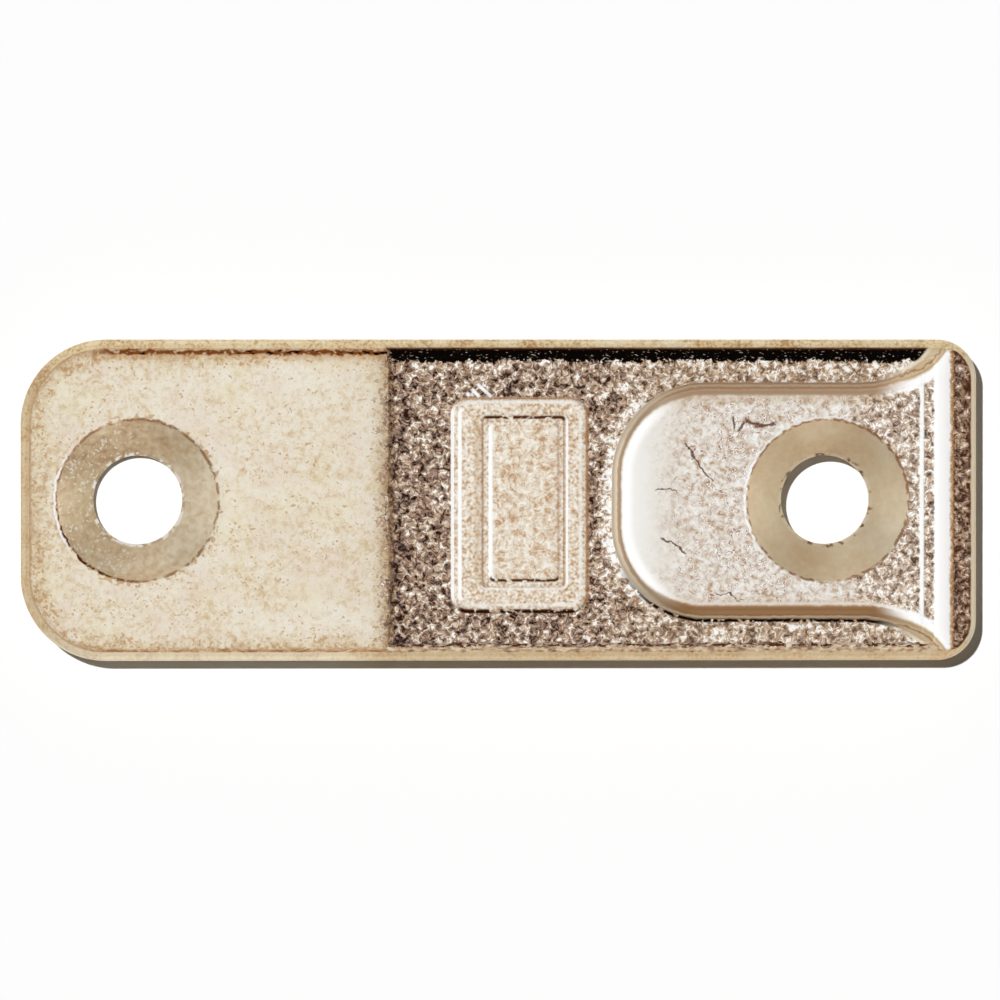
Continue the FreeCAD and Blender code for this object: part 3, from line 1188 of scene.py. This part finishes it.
@dataclass(frozen=True)
class PlatedMetal:
    """The warm, worn plating over rough cast, coined and machined metal, with light and shade of its relief
    painted into the colour in many places.
    """

    plate: StrikePlate
    tones: Palette = Palette()
    name: str = "plated_metal"

    def material(self) -> bpy.types.Material:
        """Builds the plating's material."""
        material = bpy.data.materials.new(self.name)
        sheet = ShaderSheet(material)
        spot = Spot(sheet)
        look = self.ramp(spot)
        look = self.add_land(spot, look)
        look = self.add_cartouche(spot, look)
        look = self.add_pocket(spot, look)
        look = self.add_mouth(spot, look)
        look = self.add_sides(spot, look)
        look = self.add_holes(spot, look)
        look = self.add_scratches(spot, look)
        look = self.add_back(spot, look)
        depth = spot.gauges[Gauge.ROUGH] * 0.014 + 0.001
        relief = {"Strength": 1.0, "Distance": M_PER_MM, "Height": spot.grain[0] * depth}
        inputs = {
            "Base Color": look.colour,
            "Metallic": look.metallic,
            "Roughness": look.roughness,
            "Normal": sheet.node("ShaderNodeBump", {}, relief),
        }
        metal = sheet.node("ShaderNodeBsdfPrincipled", {}, inputs)
        dull = {"Base Color": look.colour, "Roughness": 1.0, "Specular IOR Level": 0.0}
        dirt = sheet.node("ShaderNodeBsdfPrincipled", {}, dull)
        both = sheet.node("ShaderNodeMixShader", {}, {0: look.matt, 1: metal, 2: dirt})
        sheet.add("ShaderNodeOutputMaterial", {}, {"Surface": both})
        return material

    def ramp(self, spot: Spot) -> Look:
        """The smooth cream plating of the ramp, mottled, and worn tan towards its edges; towards the step's foot
        the tan is painted shade.
        """
        tones, inset = self.tones, spot.gauges[Gauge.INSET]
        level = spot.fleck * 0.6 + spot.patch[1] * 0.25 + spot.stain[1] * 0.3
        colour = tones.plating.at(level)
        colour = (spot.stain[0].ease(0.2, 1.8) * 0.25).mix(colour, tones.pink)
        colour = (spot.stain[2].ease(0.2, 1.8) * 0.25).mix(colour, tones.yellow)
        # Towards the step's foot the worn tan stands for painted shade where the ramp runs into the step.
        foot = (self.plate.ramp.foot_x - spot.x).ease(1.0, -0.1)
        edge = inset.ease(1.8, 0.8).largest(foot) * (0.6 + spot.patch[2] * 0.15)
        dashes = (spot.dust[1] * 0.8 + spot.patch[0] * 0.4 + edge * 2.0).ease(2.1, 3.1)
        colour = edge.mix(colour, tones.worn_plating.at(level))
        return Look((dashes * 0.7).mix(colour, tones.amber), 0.46, 0.3)

    def rough_cast(self, spot: Spot, lift: float | Wire) -> Look:
        """The coarse, sparkling grain of the cast land.

        Args:
            spot: where.
            lift: above zero for lighter flecks, below for darker ones.

        Returns:
            The look.
        """
        level = spot.fleck * 1.05 + lift
        colour = self.tones.cast.at(level)
        colour = (spot.dust[0].slide(0.3, 2.0) * 0.35).mix(colour, self.tones.slate)
        colour = (level.slide(0.0, 1.0) * spot.dust[2].slide(0.3, 1.8) * 0.5).mix(colour, self.tones.amber)
        colour = level.slide(1.4, 2.4).mix(colour, self.tones.white)
        return Look(colour, 0.38, 0.45, level.slide(-0.5, -1.8) * 0.8)

    def add_land(self, spot: Spot, look: Look) -> Look:
        """Covers the land with its grain, with painted shade into the step and on the ramp before it, a painted
        highlight along the pocket's contour, and lighter along the top.
        """
        contour, inset = spot.gauges[Gauge.POCKET], spot.gauges[Gauge.INSET]
        # Painted shade: the land darkens towards the step.
        shade_by_step = (spot.x - self.plate.ramp.crest_x).ease(1.3, -0.2)
        beyond = (spot.x - self.plate.pocket.end_x).ease(-1.0, 3.0)
        # Painted highlight: the land lightens along the pocket's contour, most at the closed end.
        end = spot.facing_x.ease(0.1, 0.8) * beyond.ease(1.0, 0.6)
        contour_highlight = contour.ease(-0.8, -0.1) * (end * 1.6 + 0.3)
        top = inset.band(1.28, 1.5, 0.12) * spot.y.ease(5.0, 7.0)
        pimple = spot.reach(11.49, -7.03).ease(0.55, 0.3)
        lift = beyond * 0.45 - shade_by_step * 0.85 + contour_highlight + (top + pimple * 3.0) * 0.5
        past = spot.x + spot.patch[1] * 0.08 + spot.grain[2] * 0.04 - self.plate.ramp.foot_x
        # The sienna band on the ramp just before the step is painted shade.
        worn = (past.slide(-0.9, 0.0) + spot.fleck * 0.3).ease(0.55, 1.05)
        look = look.with_stain_light_and_shade(worn * 0.7, self.tones.sienna)
        cast = self.rough_cast(spot, lift).with_stain_light_and_shade(beyond * 0.14, self.tones.tan)
        return look.under((past + spot.fleck * 0.1).ease(-0.2, 0.1), cast)

    def add_cartouche(self, spot: Spot, look: Look) -> Look:
        """Smooth plating in the groove and the bare field, with painted highlights and painted shade along its
        edges.
        """
        tones = self.tones
        groove, island, panel = (spot.gauges[gauge] for gauge in (Gauge.GROOVE, Gauge.ISLAND, Gauge.PANEL))
        colour = tones.ring.at(spot.fleck * 0.4 + spot.dust[0] * 0.5)
        look = look.under(groove.ease(-0.12, 0.02), Look(colour, 0.4, 0.35))
        look = look.under(panel.ease(0.0, 0.2), Look(tones.ring.at(spot.fleck * 0.8 - 0.1), 0.4, 0.35))
        # The lines along the walls of the groove, the ridge and the field are painted light and shade by the way
        # each wall faces: white and pale highlights on one side, tan, sienna, umber and black shade on the other.
        broken = (spot.grain[2] + spot.patch[0] * 0.5).ease(-1.8, -0.4)
        frames = (frame for frame, _ in self.plate.cartouche.frames)
        for gauge, (middle_x, middle_y, half_x, half_y) in zip((groove, island, panel), frames):
            east, north = spot.x - middle_x, spot.y - middle_y
            left, right = (east + half_x - gauge).ease(0.25, 0.05), (half_x - east - gauge).ease(0.25, 0.05)
            low, top = (north + half_y - gauge).ease(0.25, 0.05), (half_y - north - gauge).ease(0.25, 0.05)
            if gauge is groove:
                look = look.with_stain_light_and_shade(gauge.band(-0.06, 0.1, 0.04) * left, tones.white)
                look = look.with_stain_light_and_shade(gauge.band(0.3, 0.5, 0.05) * left, tones.white)
                look = look.with_stain_light_and_shade(gauge.band(1.15, 1.45, 0.1) * left * 0.4, tones.tan)
                look = look.with_stain_light_and_shade(gauge.band(-0.1, 0.05, 0.04) * top * 0.6, tones.sienna)
                look = look.with_stain_light_and_shade(gauge.band(0.1, 0.26, 0.05) * top * 0.7, tones.pale)
                look = look.with_stain_light_and_shade(gauge.band(0.2, 0.36, 0.05) * (low + right) * 0.6, tones.pale)
                look = look.with_stain_light_and_shade(gauge.band(-0.16, 0.0, 0.05) * right * 0.8, tones.sienna)
                look = look.with_dirt_and_shade(gauge.band(-0.16, 0.06, 0.05) * low * broken, tones.umber)
                look = look.with_dirt_and_shade(gauge.band(-0.13, -0.02, 0.04) * low * broken * 0.8, tones.black)
            elif gauge is island:
                look = look.with_stain_light_and_shade(gauge.band(-0.14, 0.0, 0.04) * (right + low * 0.6), tones.white)
                look = look.with_stain_light_and_shade(gauge.band(0.04, 0.14, 0.04) * right * 0.7, tones.sienna)
                look = look.with_stain_light_and_shade(gauge.band(-0.08, 0.04, 0.04) * left * 0.6, tones.sienna)
                look = look.with_dirt_and_shade(gauge.band(-0.06, 0.1, 0.05) * top * broken, tones.umber)
            else:
                look = look.with_stain_light_and_shade(gauge.band(-0.04, 0.16, 0.05) * left, tones.white)
                look = look.with_stain_light_and_shade(gauge.band(-0.04, 0.08, 0.05) * right * 0.5, tones.sienna)
                look = look.with_dirt_and_shade(gauge.band(-0.06, 0.08, 0.05) * low * broken, tones.umber)
        return look

    def pocket_floor(self, spot: Spot) -> Look:
        """The floor's plating: pale at the closed end, mottled in the middle and worn rough at the mouth."""
        tones, along = self.tones, spot.x - self.plate.pocket.end_x
        strength = along.ease(1.2, 5.0)
        level = spot.fleck * (strength * 0.65 + 0.1) + spot.patch[0] * 0.15
        colour = along.ease(1.0, 3.6).mix(tones.pale, tones.floor.at(level))
        middle = strength * along.ease(11.5, 9.0)
        rough = (spot.patch[2] + spot.stain[1] * 0.6).ease(-0.9, 0.7) * middle
        curls = spot.curls(spot.grain[2], 1.1, 0.3) * rough
        colour = (curls * 0.85).mix(colour, tones.rust)
        glints = spot.curls(spot.grain[2], 0.6, 0.25) * rough
        colour = (glints * 0.7).mix(colour, tones.white)
        worn = (spot.x + spot.patch[0] * 0.3).ease(17.6, 19.2)
        return Look(colour, 0.42, 0.35).under(worn * 0.8, self.rough_cast(spot, 0.55))

    def add_pocket(self, spot: Spot, look: Look) -> Look:
        """Lines the pocket: its contour, its walls, the bright band of its closed end and its floor, with light
        and shade painted by the way each part faces; the bright band is a painted highlight.
        """
        tones, inset = self.tones, spot.gauges[Gauge.POCKET] + spot.grain[2] * 0.008
        end = spot.facing_x.ease(0.2, 0.8) * spot.x.ease(14.0, 12.0)
        flare = spot.facing_x.ease(0.12, 0.5) * spot.x.ease(17.5, 18.6)
        south = spot.facing_y.ease(0.3, 0.9)
        north = spot.facing_y.ease(-0.3, -0.9)
        broken = (spot.grain[1] + spot.patch[0] * 0.5).ease(-1.8, -0.6)
        # The black line along the south contour is painted shade; a fainter umber line runs along the north
        # contour.
        look = look.with_dirt_and_shade(inset.band(-0.17, 0.03, 0.05) * south * broken, tones.black)
        look = look.with_dirt_and_shade(inset.band(-0.16, -0.02, 0.05) * north * broken * 0.3, tones.umber)
        # Painted highlights on the flare's lip: sand, and a cream band where it faces the mouth's end.
        look = look.under(inset.ease(-0.25, -0.15) * spot.x.ease(21.0, 22.0), Look(tones.sand, 0.42, 0.3))
        look = look.with_stain_light_and_shade(inset.band(-0.22, -0.02, 0.06) * flare * 0.8, tones.cream)
        # Painted light and shade on the walls, by the way each faces: lit at the closed end, half-lit on the north
        # side, shaded on the south side, with painted highlight and shade lines across them.
        wall = Look(end.mix(north.mix(tones.wall_shaded, tones.wall_half_lit), tones.wall_lit), 0.36, 0.25)
        wall = wall.with_stain_light_and_shade(inset.band(0.04, 0.15, 0.03) * south * 0.9, tones.wall_lit)
        wall = wall.with_stain_light_and_shade(inset.band(0.1, 0.19, 0.03) * north * 0.5, tones.wall_lit)
        wall = wall.with_stain_light_and_shade(inset.band(0.25, 0.36, 0.04) * (1 - end) * 0.7, tones.wall_shaded)
        wall = wall.with_stain_light_and_shade(inset.band(0.24, 0.34, 0.03) * north * 0.3, tones.rust)
        wall = wall.with_stain_light_and_shade(inset.band(0.58, 0.72, 0.04) * south * 0.6, tones.sienna)
        wall = wall.with_stain_light_and_shade(inset.band(0.05, 0.13, 0.03) * end * 0.5, tones.tan)
        wall = wall.with_stain_light_and_shade(inset.band(0.31, 0.5, 0.04) * end, tones.wall_half_lit)
        # The flare's walls face the mouth's end and are painted lit: sand, sienna lines and a white highlight.
        wall = wall.with_stain_light_and_shade(flare * 0.9, tones.sand)
        inner = inset - spot.x.ease(20.3, 22.8) * 0.3
        lines = (inner + spot.grain[2] * 0.02).band(0.02, 0.1, 0.03)
        wall = wall.with_stain_light_and_shade((lines + inner.band(0.22, 0.3, 0.05) * 0.5) * flare * 0.8, tones.sienna)
        wall = wall.under(inner.ease(0.3, 0.46) * flare, Look(tones.white, 0.36, 0.4))
        look = look.under(inset.ease(-0.04, 0.02), wall)
        floor = self.pocket_floor(spot)
        # Painted light and shade on the floor: a pale highlight band by the south cove, tan shade in the side
        # coves, and white highlights where it rises to the closed end and into the flare; the flare's foot is
        # sand.
        floor = floor.with_stain_light_and_shade(inset.band(0.7, 0.86, 0.05) * south * 0.8, tones.pale)
        floor = floor.with_stain_light_and_shade(inset.ease(1.3, 0.8) * (1 - end) * (1 - flare) * 0.35, tones.tan)
        floor = floor.under(inset.ease(1.3, 0.8) * end, Look(tones.white, 0.32, 0.4))
        floor = floor.under(inner.ease(0.95, 0.8) * flare, Look(tones.white, 0.36, 0.4))
        floor = floor.with_stain_light_and_shade(inner.ease(0.46, 0.3) * flare, tones.sand)
        start = end.blend(0.66, 0.54)
        return look.under((inset - start).ease(-0.08, 0.1), floor)

    def add_mouth(self, spot: Spot, look: Look) -> Look:
        """The floor's crease with a painted highlight, the lead-in slope painted white as a highlight, and the
        rough strip in front of it.
        """
        tones, lead_in = self.tones, self.plate.lead_in
        ragged = spot.fleck * 0.02
        past = spot.x - self.plate.pocket.crease_x
        inside = spot.gauges[Gauge.POCKET].ease(0.98, 1.15)
        look = look.under(past.ease(-0.1, 0.05) * inside * 0.4, self.rough_cast(spot, 0.2))
        # A white line painted along the floor's crease as a highlight.
        look = look.with_stain_light_and_shade((past + ragged * 0.5).band(-0.19, 0.03, 0.05) * inside, tones.white)
        # The lead-in slope is smooth plating, painted white as a highlight where it faces the mouth's end.
        inner = spot.gauges[Gauge.POCKET].ease(0.55, 0.72)
        slope = (spot.x - lead_in.top_x + ragged).ease(-0.1, 0.06)
        look = look.under(slope * inner, Look(tones.white, 0.5, 0.5))
        past_foot = spot.x - lead_in.foot_x + ragged * 1.6
        look = look.with_stain_light_and_shade(past_foot.ease(-0.2, -0.06) * inner, tones.tan)
        look = look.with_stain_light_and_shade(past_foot.ease(-0.08, 0.02), tones.sienna)
        strip = self.rough_cast(spot, past_foot.ease(0.3, 0.0) * -0.8 - 0.7)
        strip = strip.with_stain_light_and_shade(past_foot.ease(0.0, 0.1) * 0.12, tones.sienna)
        return look.under(past_foot.ease(0.0, 0.1), strip)

    def add_sides(self, spot: Spot, look: Look) -> Look:
        """The side walls and the smooth rounded rim: the north wall painted black as shade, the south wall tan,
        and a dark line round the ramp's edge.
        """
        tones, inset = self.tones, spot.gauges[Gauge.INSET]
        on_land = (spot.x - self.plate.ramp.foot_x + spot.grain[1] * 0.08).ease(-0.1, 0.2)
        before_mouth = (self.plate.lead_in.top_x - spot.x).ease(-0.1, 0.5)
        north = spot.y.ease(5.0, 7.0) * before_mouth
        south = spot.y.ease(-5.0, -7.0) * before_mouth
        broken = spot.grain[2] * 0.8 + spot.patch[1] * 0.6
        level = spot.grain[1] * 0.7 + spot.patch[0] * 0.5
        wall = Look(tones.side.at(level), 0.4, 0.3)
        look = look.under((inset + spot.grain[2] * 0.03).ease(0.94, 0.8) * on_land * south, wall)
        dots = (inset + spot.grain[1] * 0.04).band(0.76, 0.98, 0.06) * on_land * south
        look = look.with_dirt_and_shade(dots * (spot.fleck * 0.8 + broken * 0.5).ease(-0.4, 0.5), tones.umber)
        # The north side wall is painted black as shade, thinned where sparkling flecks show the land's colour
        # through it.
        sparkle = (spot.dust[1] + spot.grain[0] * 0.5).ease(2.3, 3.1)
        edge = inset + spot.fleck * 0.06 + spot.patch[1] * 0.03
        flare = spot.gauges[Gauge.POCKET].ease(-0.25, -0.15) * spot.x.ease(20.6, 21.6)
        black = edge.ease(1.2, 1.08) * on_land * north * (1 - flare)
        look = look.with_dirt_and_shade(black * (1 - sparkle * 0.4), tones.black)
        # A dark line runs round the ramp's edge; on the north side its rust and black is painted shade, as on the
        # north wall past the step.
        line = (inset + spot.grain[1] * 0.03 + spot.patch[2] * 0.02) * (1 - on_land)
        start = spot.x.ease(-22.0, -20.0)
        look = look.with_stain_light_and_shade(line.band(0.4, 1.05, 0.15) * north * start * 0.45, tones.amber)
        share = north * start * (broken + spot.x.ease(-21.0, -8.0)).ease(-1.6, -0.4)
        look = look.with_dirt_and_shade(line.band(0.55, 0.8, 0.07) * share, tones.rust)
        darkest = north * start * (broken + spot.x.ease(-14.0, -6.0)).ease(0.7, 1.5)
        look = look.with_dirt_and_shade(line.band(0.6, 0.74, 0.04) * darkest, tones.black)
        south_side = spot.y.ease(-6.5, -8.0) * spot.x.ease(-22.5, -20.5)
        look = look.with_stain_light_and_shade(line.band(0.42, 0.68, 0.08) * south_side * broken.ease(-2.4, -0.4), tones.amber)
        look = look.with_stain_light_and_shade(line.band(0.5, 0.58, 0.05) * south_side * broken.ease(-0.6, 0.6), tones.rust)
        faint = (1 - north * start) * (1 - south_side)
        look = look.with_stain_light_and_shade(line.band(0.36, 0.56, 0.08) * faint * 0.7, tones.amber)
        trough = inset.band(0.28, 0.44, 0.05) * (1 - before_mouth) * broken.ease(-1.4, 0.2)
        look = look.with_dirt_and_shade(trough * 0.8, tones.umber)
        look = look.under(self.rim_share(spot), self.rim(spot))
        # Painted shade in the crease at the foot of the north wall.
        return look.with_dirt_and_shade(inset.band(0.42, 0.52, 0.06) * on_land * north * (1 - flare) * 0.85, tones.umber)

    def rim_share(self, spot: Spot) -> Wire:
        """The share of the rim, which is narrower in front of the mouth."""
        inset = spot.gauges[Gauge.INSET] + spot.patch[2] * 0.01
        mouth = (spot.x - self.plate.lead_in.foot_x).ease(-0.3, 0.3)
        return (inset + mouth * 0.16).ease(0.5, 0.42)

    def rim(self, spot: Spot) -> Look:
        """The smooth rounded rim: tan along the top, lighter by the ramp's low edge and pinkish at the tail."""
        tones = self.tones
        colour = tones.rim.at(spot.patch[0] * 0.45 + spot.dust[1] * 0.35)
        low = spot.y.ease(-6.0, -8.0)
        on_ramp = (self.plate.ramp.foot_x - spot.x).ease(0.0, 3.0)
        colour = (low * (1 - on_ramp) * 0.6).mix(colour, tones.tan)
        colour = (low * on_ramp * 0.6).mix(colour, tones.cream)
        colour = (spot.x.ease(-23.0, -24.6) * 0.5).mix(colour, tones.tan)
        colour = (spot.x.ease(24.2, 24.7) * 0.9).mix(colour, tones.bone)
        return Look(colour, 0.42, 0.3)

    def add_holes(self, spot: Spot, look: Look) -> Look:
        """The machined countersinks, their ragged edges and the burrs round the bores, with painted light and
        shade round each cone and painted highlights on the west side of its rim and burr.
        """
        tones, tail, mouth = self.tones, self.plate.tail_hole, self.plate.mouth_hole
        right = spot.x.math("GREATER_THAN", 0.0)
        left = 1 - right
        reach = spot.reach(right.blend(tail.x, mouth.x))
        east = (spot.x - right.blend(tail.x, mouth.x)) / reach.largest(0.1)
        north = spot.y / reach.largest(0.1)
        grain = spot.grain[1]
        # Painted light and shade: each cone is lighter towards its east and south sides and, in the tail hole,
        # darker to the west, with a painted olive sheen on its west side.
        level = grain * (left * 0.2 + 0.1) + spot.stain[1] * 0.25 + east * east * 0.5
        level = level + east.ease(0.0, 1.0) * (left * 0.5 + 0.4) + north.ease(0.3, -1.0) * (right * 0.4 + 0.3)
        colour = tones.cone.at(level - east.ease(0.2, -0.8) * left * 0.35 - 0.2)
        sheen = east.ease(-0.5, -1.0) * (1 - north * north) * reach.ease(4.2, 2.6)
        colour = (sheen * 0.25).mix(colour, tones.olive)
        # Painted glints: pale flecks on the west half of each cone, mostly in the tail hole.
        flecks = (spot.dust[2] * 0.8 + spot.patch[0] * 0.6).ease(1.2, 2.6) * east.ease(0.4, -0.5)
        colour = (flecks * (left * 0.5 + 0.05)).mix(colour, tones.pale)
        sink, bore = tail.sink_radius, tail.radius
        look = look.under(reach.ease(sink + 0.02, sink - 0.05), Look(colour, 0.42, 0.4))
        broken = spot.grain[2] * 0.8 + spot.patch[2] * 0.6
        edge = reach + grain * 0.018
        lower_left = (east * 0.7 + north * 0.7).ease(-0.6, -1.0)
        line = edge.band(sink - 0.1, sink + 0.04, 0.04)
        look = look.with_stain_light_and_shade(line * broken.ease(-1.6, 0.4) * 0.8, tones.sienna)
        look = look.with_dirt_and_shade(line * broken.ease(-0.2, 0.8) * (lower_left * left + 0.25), tones.umber)
        dashes = edge.band(sink - 0.02, sink + 0.3, 0.06) * (broken + grain).ease(0.9, 2.0) * left
        look = look.with_stain_light_and_shade(dashes * 0.7, tones.amber)
        # Painted highlight just outside the mouth hole's countersink, on its west and north side.
        lit_rim_side = (east + 0.3 - north * 0.6).ease(0.3, -0.3) * right
        look = look.with_stain_light_and_shade(edge.band(sink + 0.02, sink + 0.12, 0.04) * lit_rim_side * 0.7, tones.pale)
        # A burr on the west side of each hole's countersink, painted white as a highlight.
        burr_highlight = edge.band(sink + 0.0, sink + 0.12, 0.04) * east.ease(-0.7, -0.95) * broken.ease(-1.3, -0.4)
        look = look.with_stain_light_and_shade(burr_highlight, tones.white)
        lip = edge.band(bore - 0.1, bore + 0.16, 0.06)
        look = look.with_stain_light_and_shade(lip * broken.ease(0.4, -0.8) * (left * 0.8 + 0.2), tones.pale)
        return look.with_stain_light_and_shade(lip * broken.ease(0.6, 1.4) * (right * 0.6 + 0.2), tones.umber)

    def add_scratches(self, spot: Spot, look: Look) -> Look:
        """The few long marks that the plate carries."""
        tones = self.tones
        dark = (
            ((12.17, 4.41), (12.23, 3.67), 0.07, 0.05),
            ((12.38, 3.6), (12.8, 4.12), 0.1, 0.08),
            ((12.75, 4.12), (13.5, 3.84), 0.18, 0.15),
            ((13.45, 3.8), (14.4, 3.96), 0.16, 0.15),
            ((9.55, 2.95), (11.15, 1.0), 0.06, 0.15),
            ((8.4, -1.9), (9.75, -2.75), 0.09, 0.2),
            ((8.1, 0.62), (9.25, 0.45), 0.05, 0.2),
            ((11.2, -4.85), (12.8, -5.05), 0.05, 0.25),
        )
        hatch = (
            ((-1.22, 6.1), (-0.45, 5.4), 0.13, 0.0),
            ((-1.5, 5.84), (-1.08, 5.4), 0.13, 0.0),
            ((-1.76, 5.66), (-1.6, 5.42), 0.14, 0.0),
        )
        look = look.with_dirt_and_shade(spot.strokes(dark) * 0.85, tones.umber)
        look = look.with_stain_light_and_shade(spot.strokes(hatch), tones.white)
        for place in ((5.46, 1.26), (5.56, 0.68)):
            look = look.with_stain_light_and_shade(spot.reach(*place).ease(0.22, 0.14), tones.pale)
            look = look.with_stain_light_and_shade(spot.reach(*place).ease(0.11, 0.05) * 0.8, tones.sienna)
        return look

    def add_back(self, spot: Spot, look: Look) -> Look:
        """Plain satin plating on the back, with the stains of its pickling."""
        colour = self.tones.rim.at(spot.stain[0] * 0.8 + spot.patch[0] * 0.4)
        return look.under(spot.z.ease(0.14, 0.05), Look(colour, 0.4, 0.4))


@dataclass(frozen=True)
class Softbox:
    """A soft square lamp that looks at the plate.

    Attributes:
        name: the lamp's name.
        place_m: where it hangs.
        size_m: its side.
        radiance: how bright its face is, where 1 is white.
    """

    name: str
    place_m: tuple[float, float, float]
    size_m: float
    radiance: float

    def build(self, group: bpy.types.Collection) -> None:
        """Hangs the lamp and lets it light only the group's objects."""
        data = bpy.data.lights.new(self.name, "AREA")
        data.size = self.size_m
        data.energy = self.radiance * math.pi * self.size_m ** 2
        lamp = bpy.data.objects.new(self.name, data)
        lamp.location = self.place_m
        lamp.rotation_euler = (-Vector(self.place_m)).to_track_quat("-Z", "Y").to_euler()
        lamp.light_linking.receiver_collection = group
        bpy.context.scene.collection.objects.link(lamp)


@dataclass(frozen=True)
class Studio:
    """The pale floor, the soft light and the camera over the plate."""

    camera_place_m: tuple[float, float, float] = (-0.013, 0.0084, 0.45)
    aim_m: tuple[float, float, float] = (0.00005, 0.0, 0.0012)
    lens: float = 309.0
    sensor: float = 36.0
    floor_size_m: float = 6.0
    floor_colour: Colour = (0.76, 0.76, 0.76, 1.0)
    sun_strength: float = 4.4
    sun_direction: tuple[float, float, float] = (0.36, -0.36, -1.0)
    sun_angle: float = 2.5
    ambient: float = 0.04
    surround: float = 0.45
    softboxes: tuple[Softbox, ...] = (
        Softbox("overhead", (0.0, 0.0, 0.6), 0.55, 1.15),
        Softbox("east", (0.45, 0.0, 0.22), 0.45, 1.7),
        Softbox("south", (0.1, -0.45, 0.22), 0.45, 1.4),
        Softbox("west", (-0.45, 0.0, 0.22), 0.45, 1.3),
        Softbox("north", (-0.1, 0.45, 0.22), 0.45, 1.25),
    )

    def build(self) -> None:
        """Sets up everything round the plate."""
        bpy.context.scene.view_settings.view_transform = "Standard"
        floor = self.add_floor()
        self.add_camera()
        self.add_world()
        self.add_sun(self.light_group("floor_light", floor, "INCLUDE"))
        plate_light = self.light_group("plate_light", floor, "EXCLUDE")
        for softbox in self.softboxes:
            softbox.build(plate_light)

    def light_group(self, name: str, floor: bpy.types.Object, state: str) -> bpy.types.Collection:
        """A set for lamps that light only the floor, or all but the floor."""
        group = bpy.data.collections.new(name)
        group.objects.link(floor)
        group.collection_objects[0].light_linking.link_state = state
        return group

    def add_floor(self) -> bpy.types.Object:
        """Lays the pale floor that the plate lies on."""
        mesh = bpy.data.meshes.new("floor")
        half = self.floor_size_m / 2
        corners = [(-half, -half, 0), (half, -half, 0), (half, half, 0), (-half, half, 0)]
        mesh.from_pydata(corners, [], [(0, 1, 2, 3)])
        floor = bpy.data.objects.new("floor", mesh)
        bpy.context.scene.collection.objects.link(floor)
        material = bpy.data.materials.new("floor")
        sheet = ShaderSheet(material)
        shader = sheet.node("ShaderNodeBsdfDiffuse", {}, {"Color": self.floor_colour})
        sheet.add("ShaderNodeOutputMaterial", {}, {"Surface": shader})
        mesh.materials.append(material)
        return floor

    def add_camera(self) -> None:
        """Stands the camera over the plate, with the picture's top towards +Y."""
        data = bpy.data.cameras.new("camera")
        data.lens = self.lens
        data.sensor_width = self.sensor
        data.clip_start, data.clip_end = 0.01, 20
        camera = bpy.data.objects.new("camera", data)
        bpy.context.scene.collection.objects.link(camera)
        forward = (Vector(self.aim_m) - Vector(self.camera_place_m)).normalized()
        right = forward.cross(Vector((0, 1, 0))).normalized()
        turn = Matrix((right, right.cross(forward), -forward)).transposed().to_4x4()
        camera.matrix_world = Matrix.Translation(self.camera_place_m) @ turn
        bpy.context.scene.camera = camera

    def add_world(self) -> None:
        """Surrounds the plate with even light: dim on matt surfaces, brighter as metal shows it."""
        world = bpy.data.worlds.new("studio")
        bpy.context.scene.world = world
        sheet = ShaderSheet(world)
        glossy = sheet.node("ShaderNodeLightPath", {}, {}, "Is Glossy Ray")
        strength = glossy.blend(self.ambient, self.surround)
        background = sheet.node("ShaderNodeBackground", {}, {"Color": (1, 1, 1, 1), "Strength": strength})
        sheet.add("ShaderNodeOutputWorld", {}, {"Surface": background})

    def add_sun(self, group: bpy.types.Collection) -> None:
        """Adds the lamp that casts the plate's shadow on the floor, down to the right."""
        data = bpy.data.lights.new("floor_sun", "SUN")
        data.energy = self.sun_strength
        data.angle = math.radians(self.sun_angle)
        sun = bpy.data.objects.new("floor_sun", data)
        sun.rotation_euler = Vector(self.sun_direction).to_track_quat("-Z", "Y").to_euler()
        sun.light_linking.receiver_collection = group
        bpy.context.scene.collection.objects.link(sun)


def main() -> None:
    """Builds the plate, dresses it and sets up the studio."""
    logging.basicConfig(level=logging.INFO, format="%(name)s: %(message)s")
    builder = StrikePlate.from_frame(NODE)
    plate = builder.build()
    plate.data.materials.append(PlatedMetal(builder).material())
    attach(plate, BODY)
    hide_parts(NODE)
    log.info("%s: %d vertices, %d faces", plate.name, len(plate.data.vertices), len(plate.data.polygons))
    Studio().build()


if __name__ == "__main__":
    main()
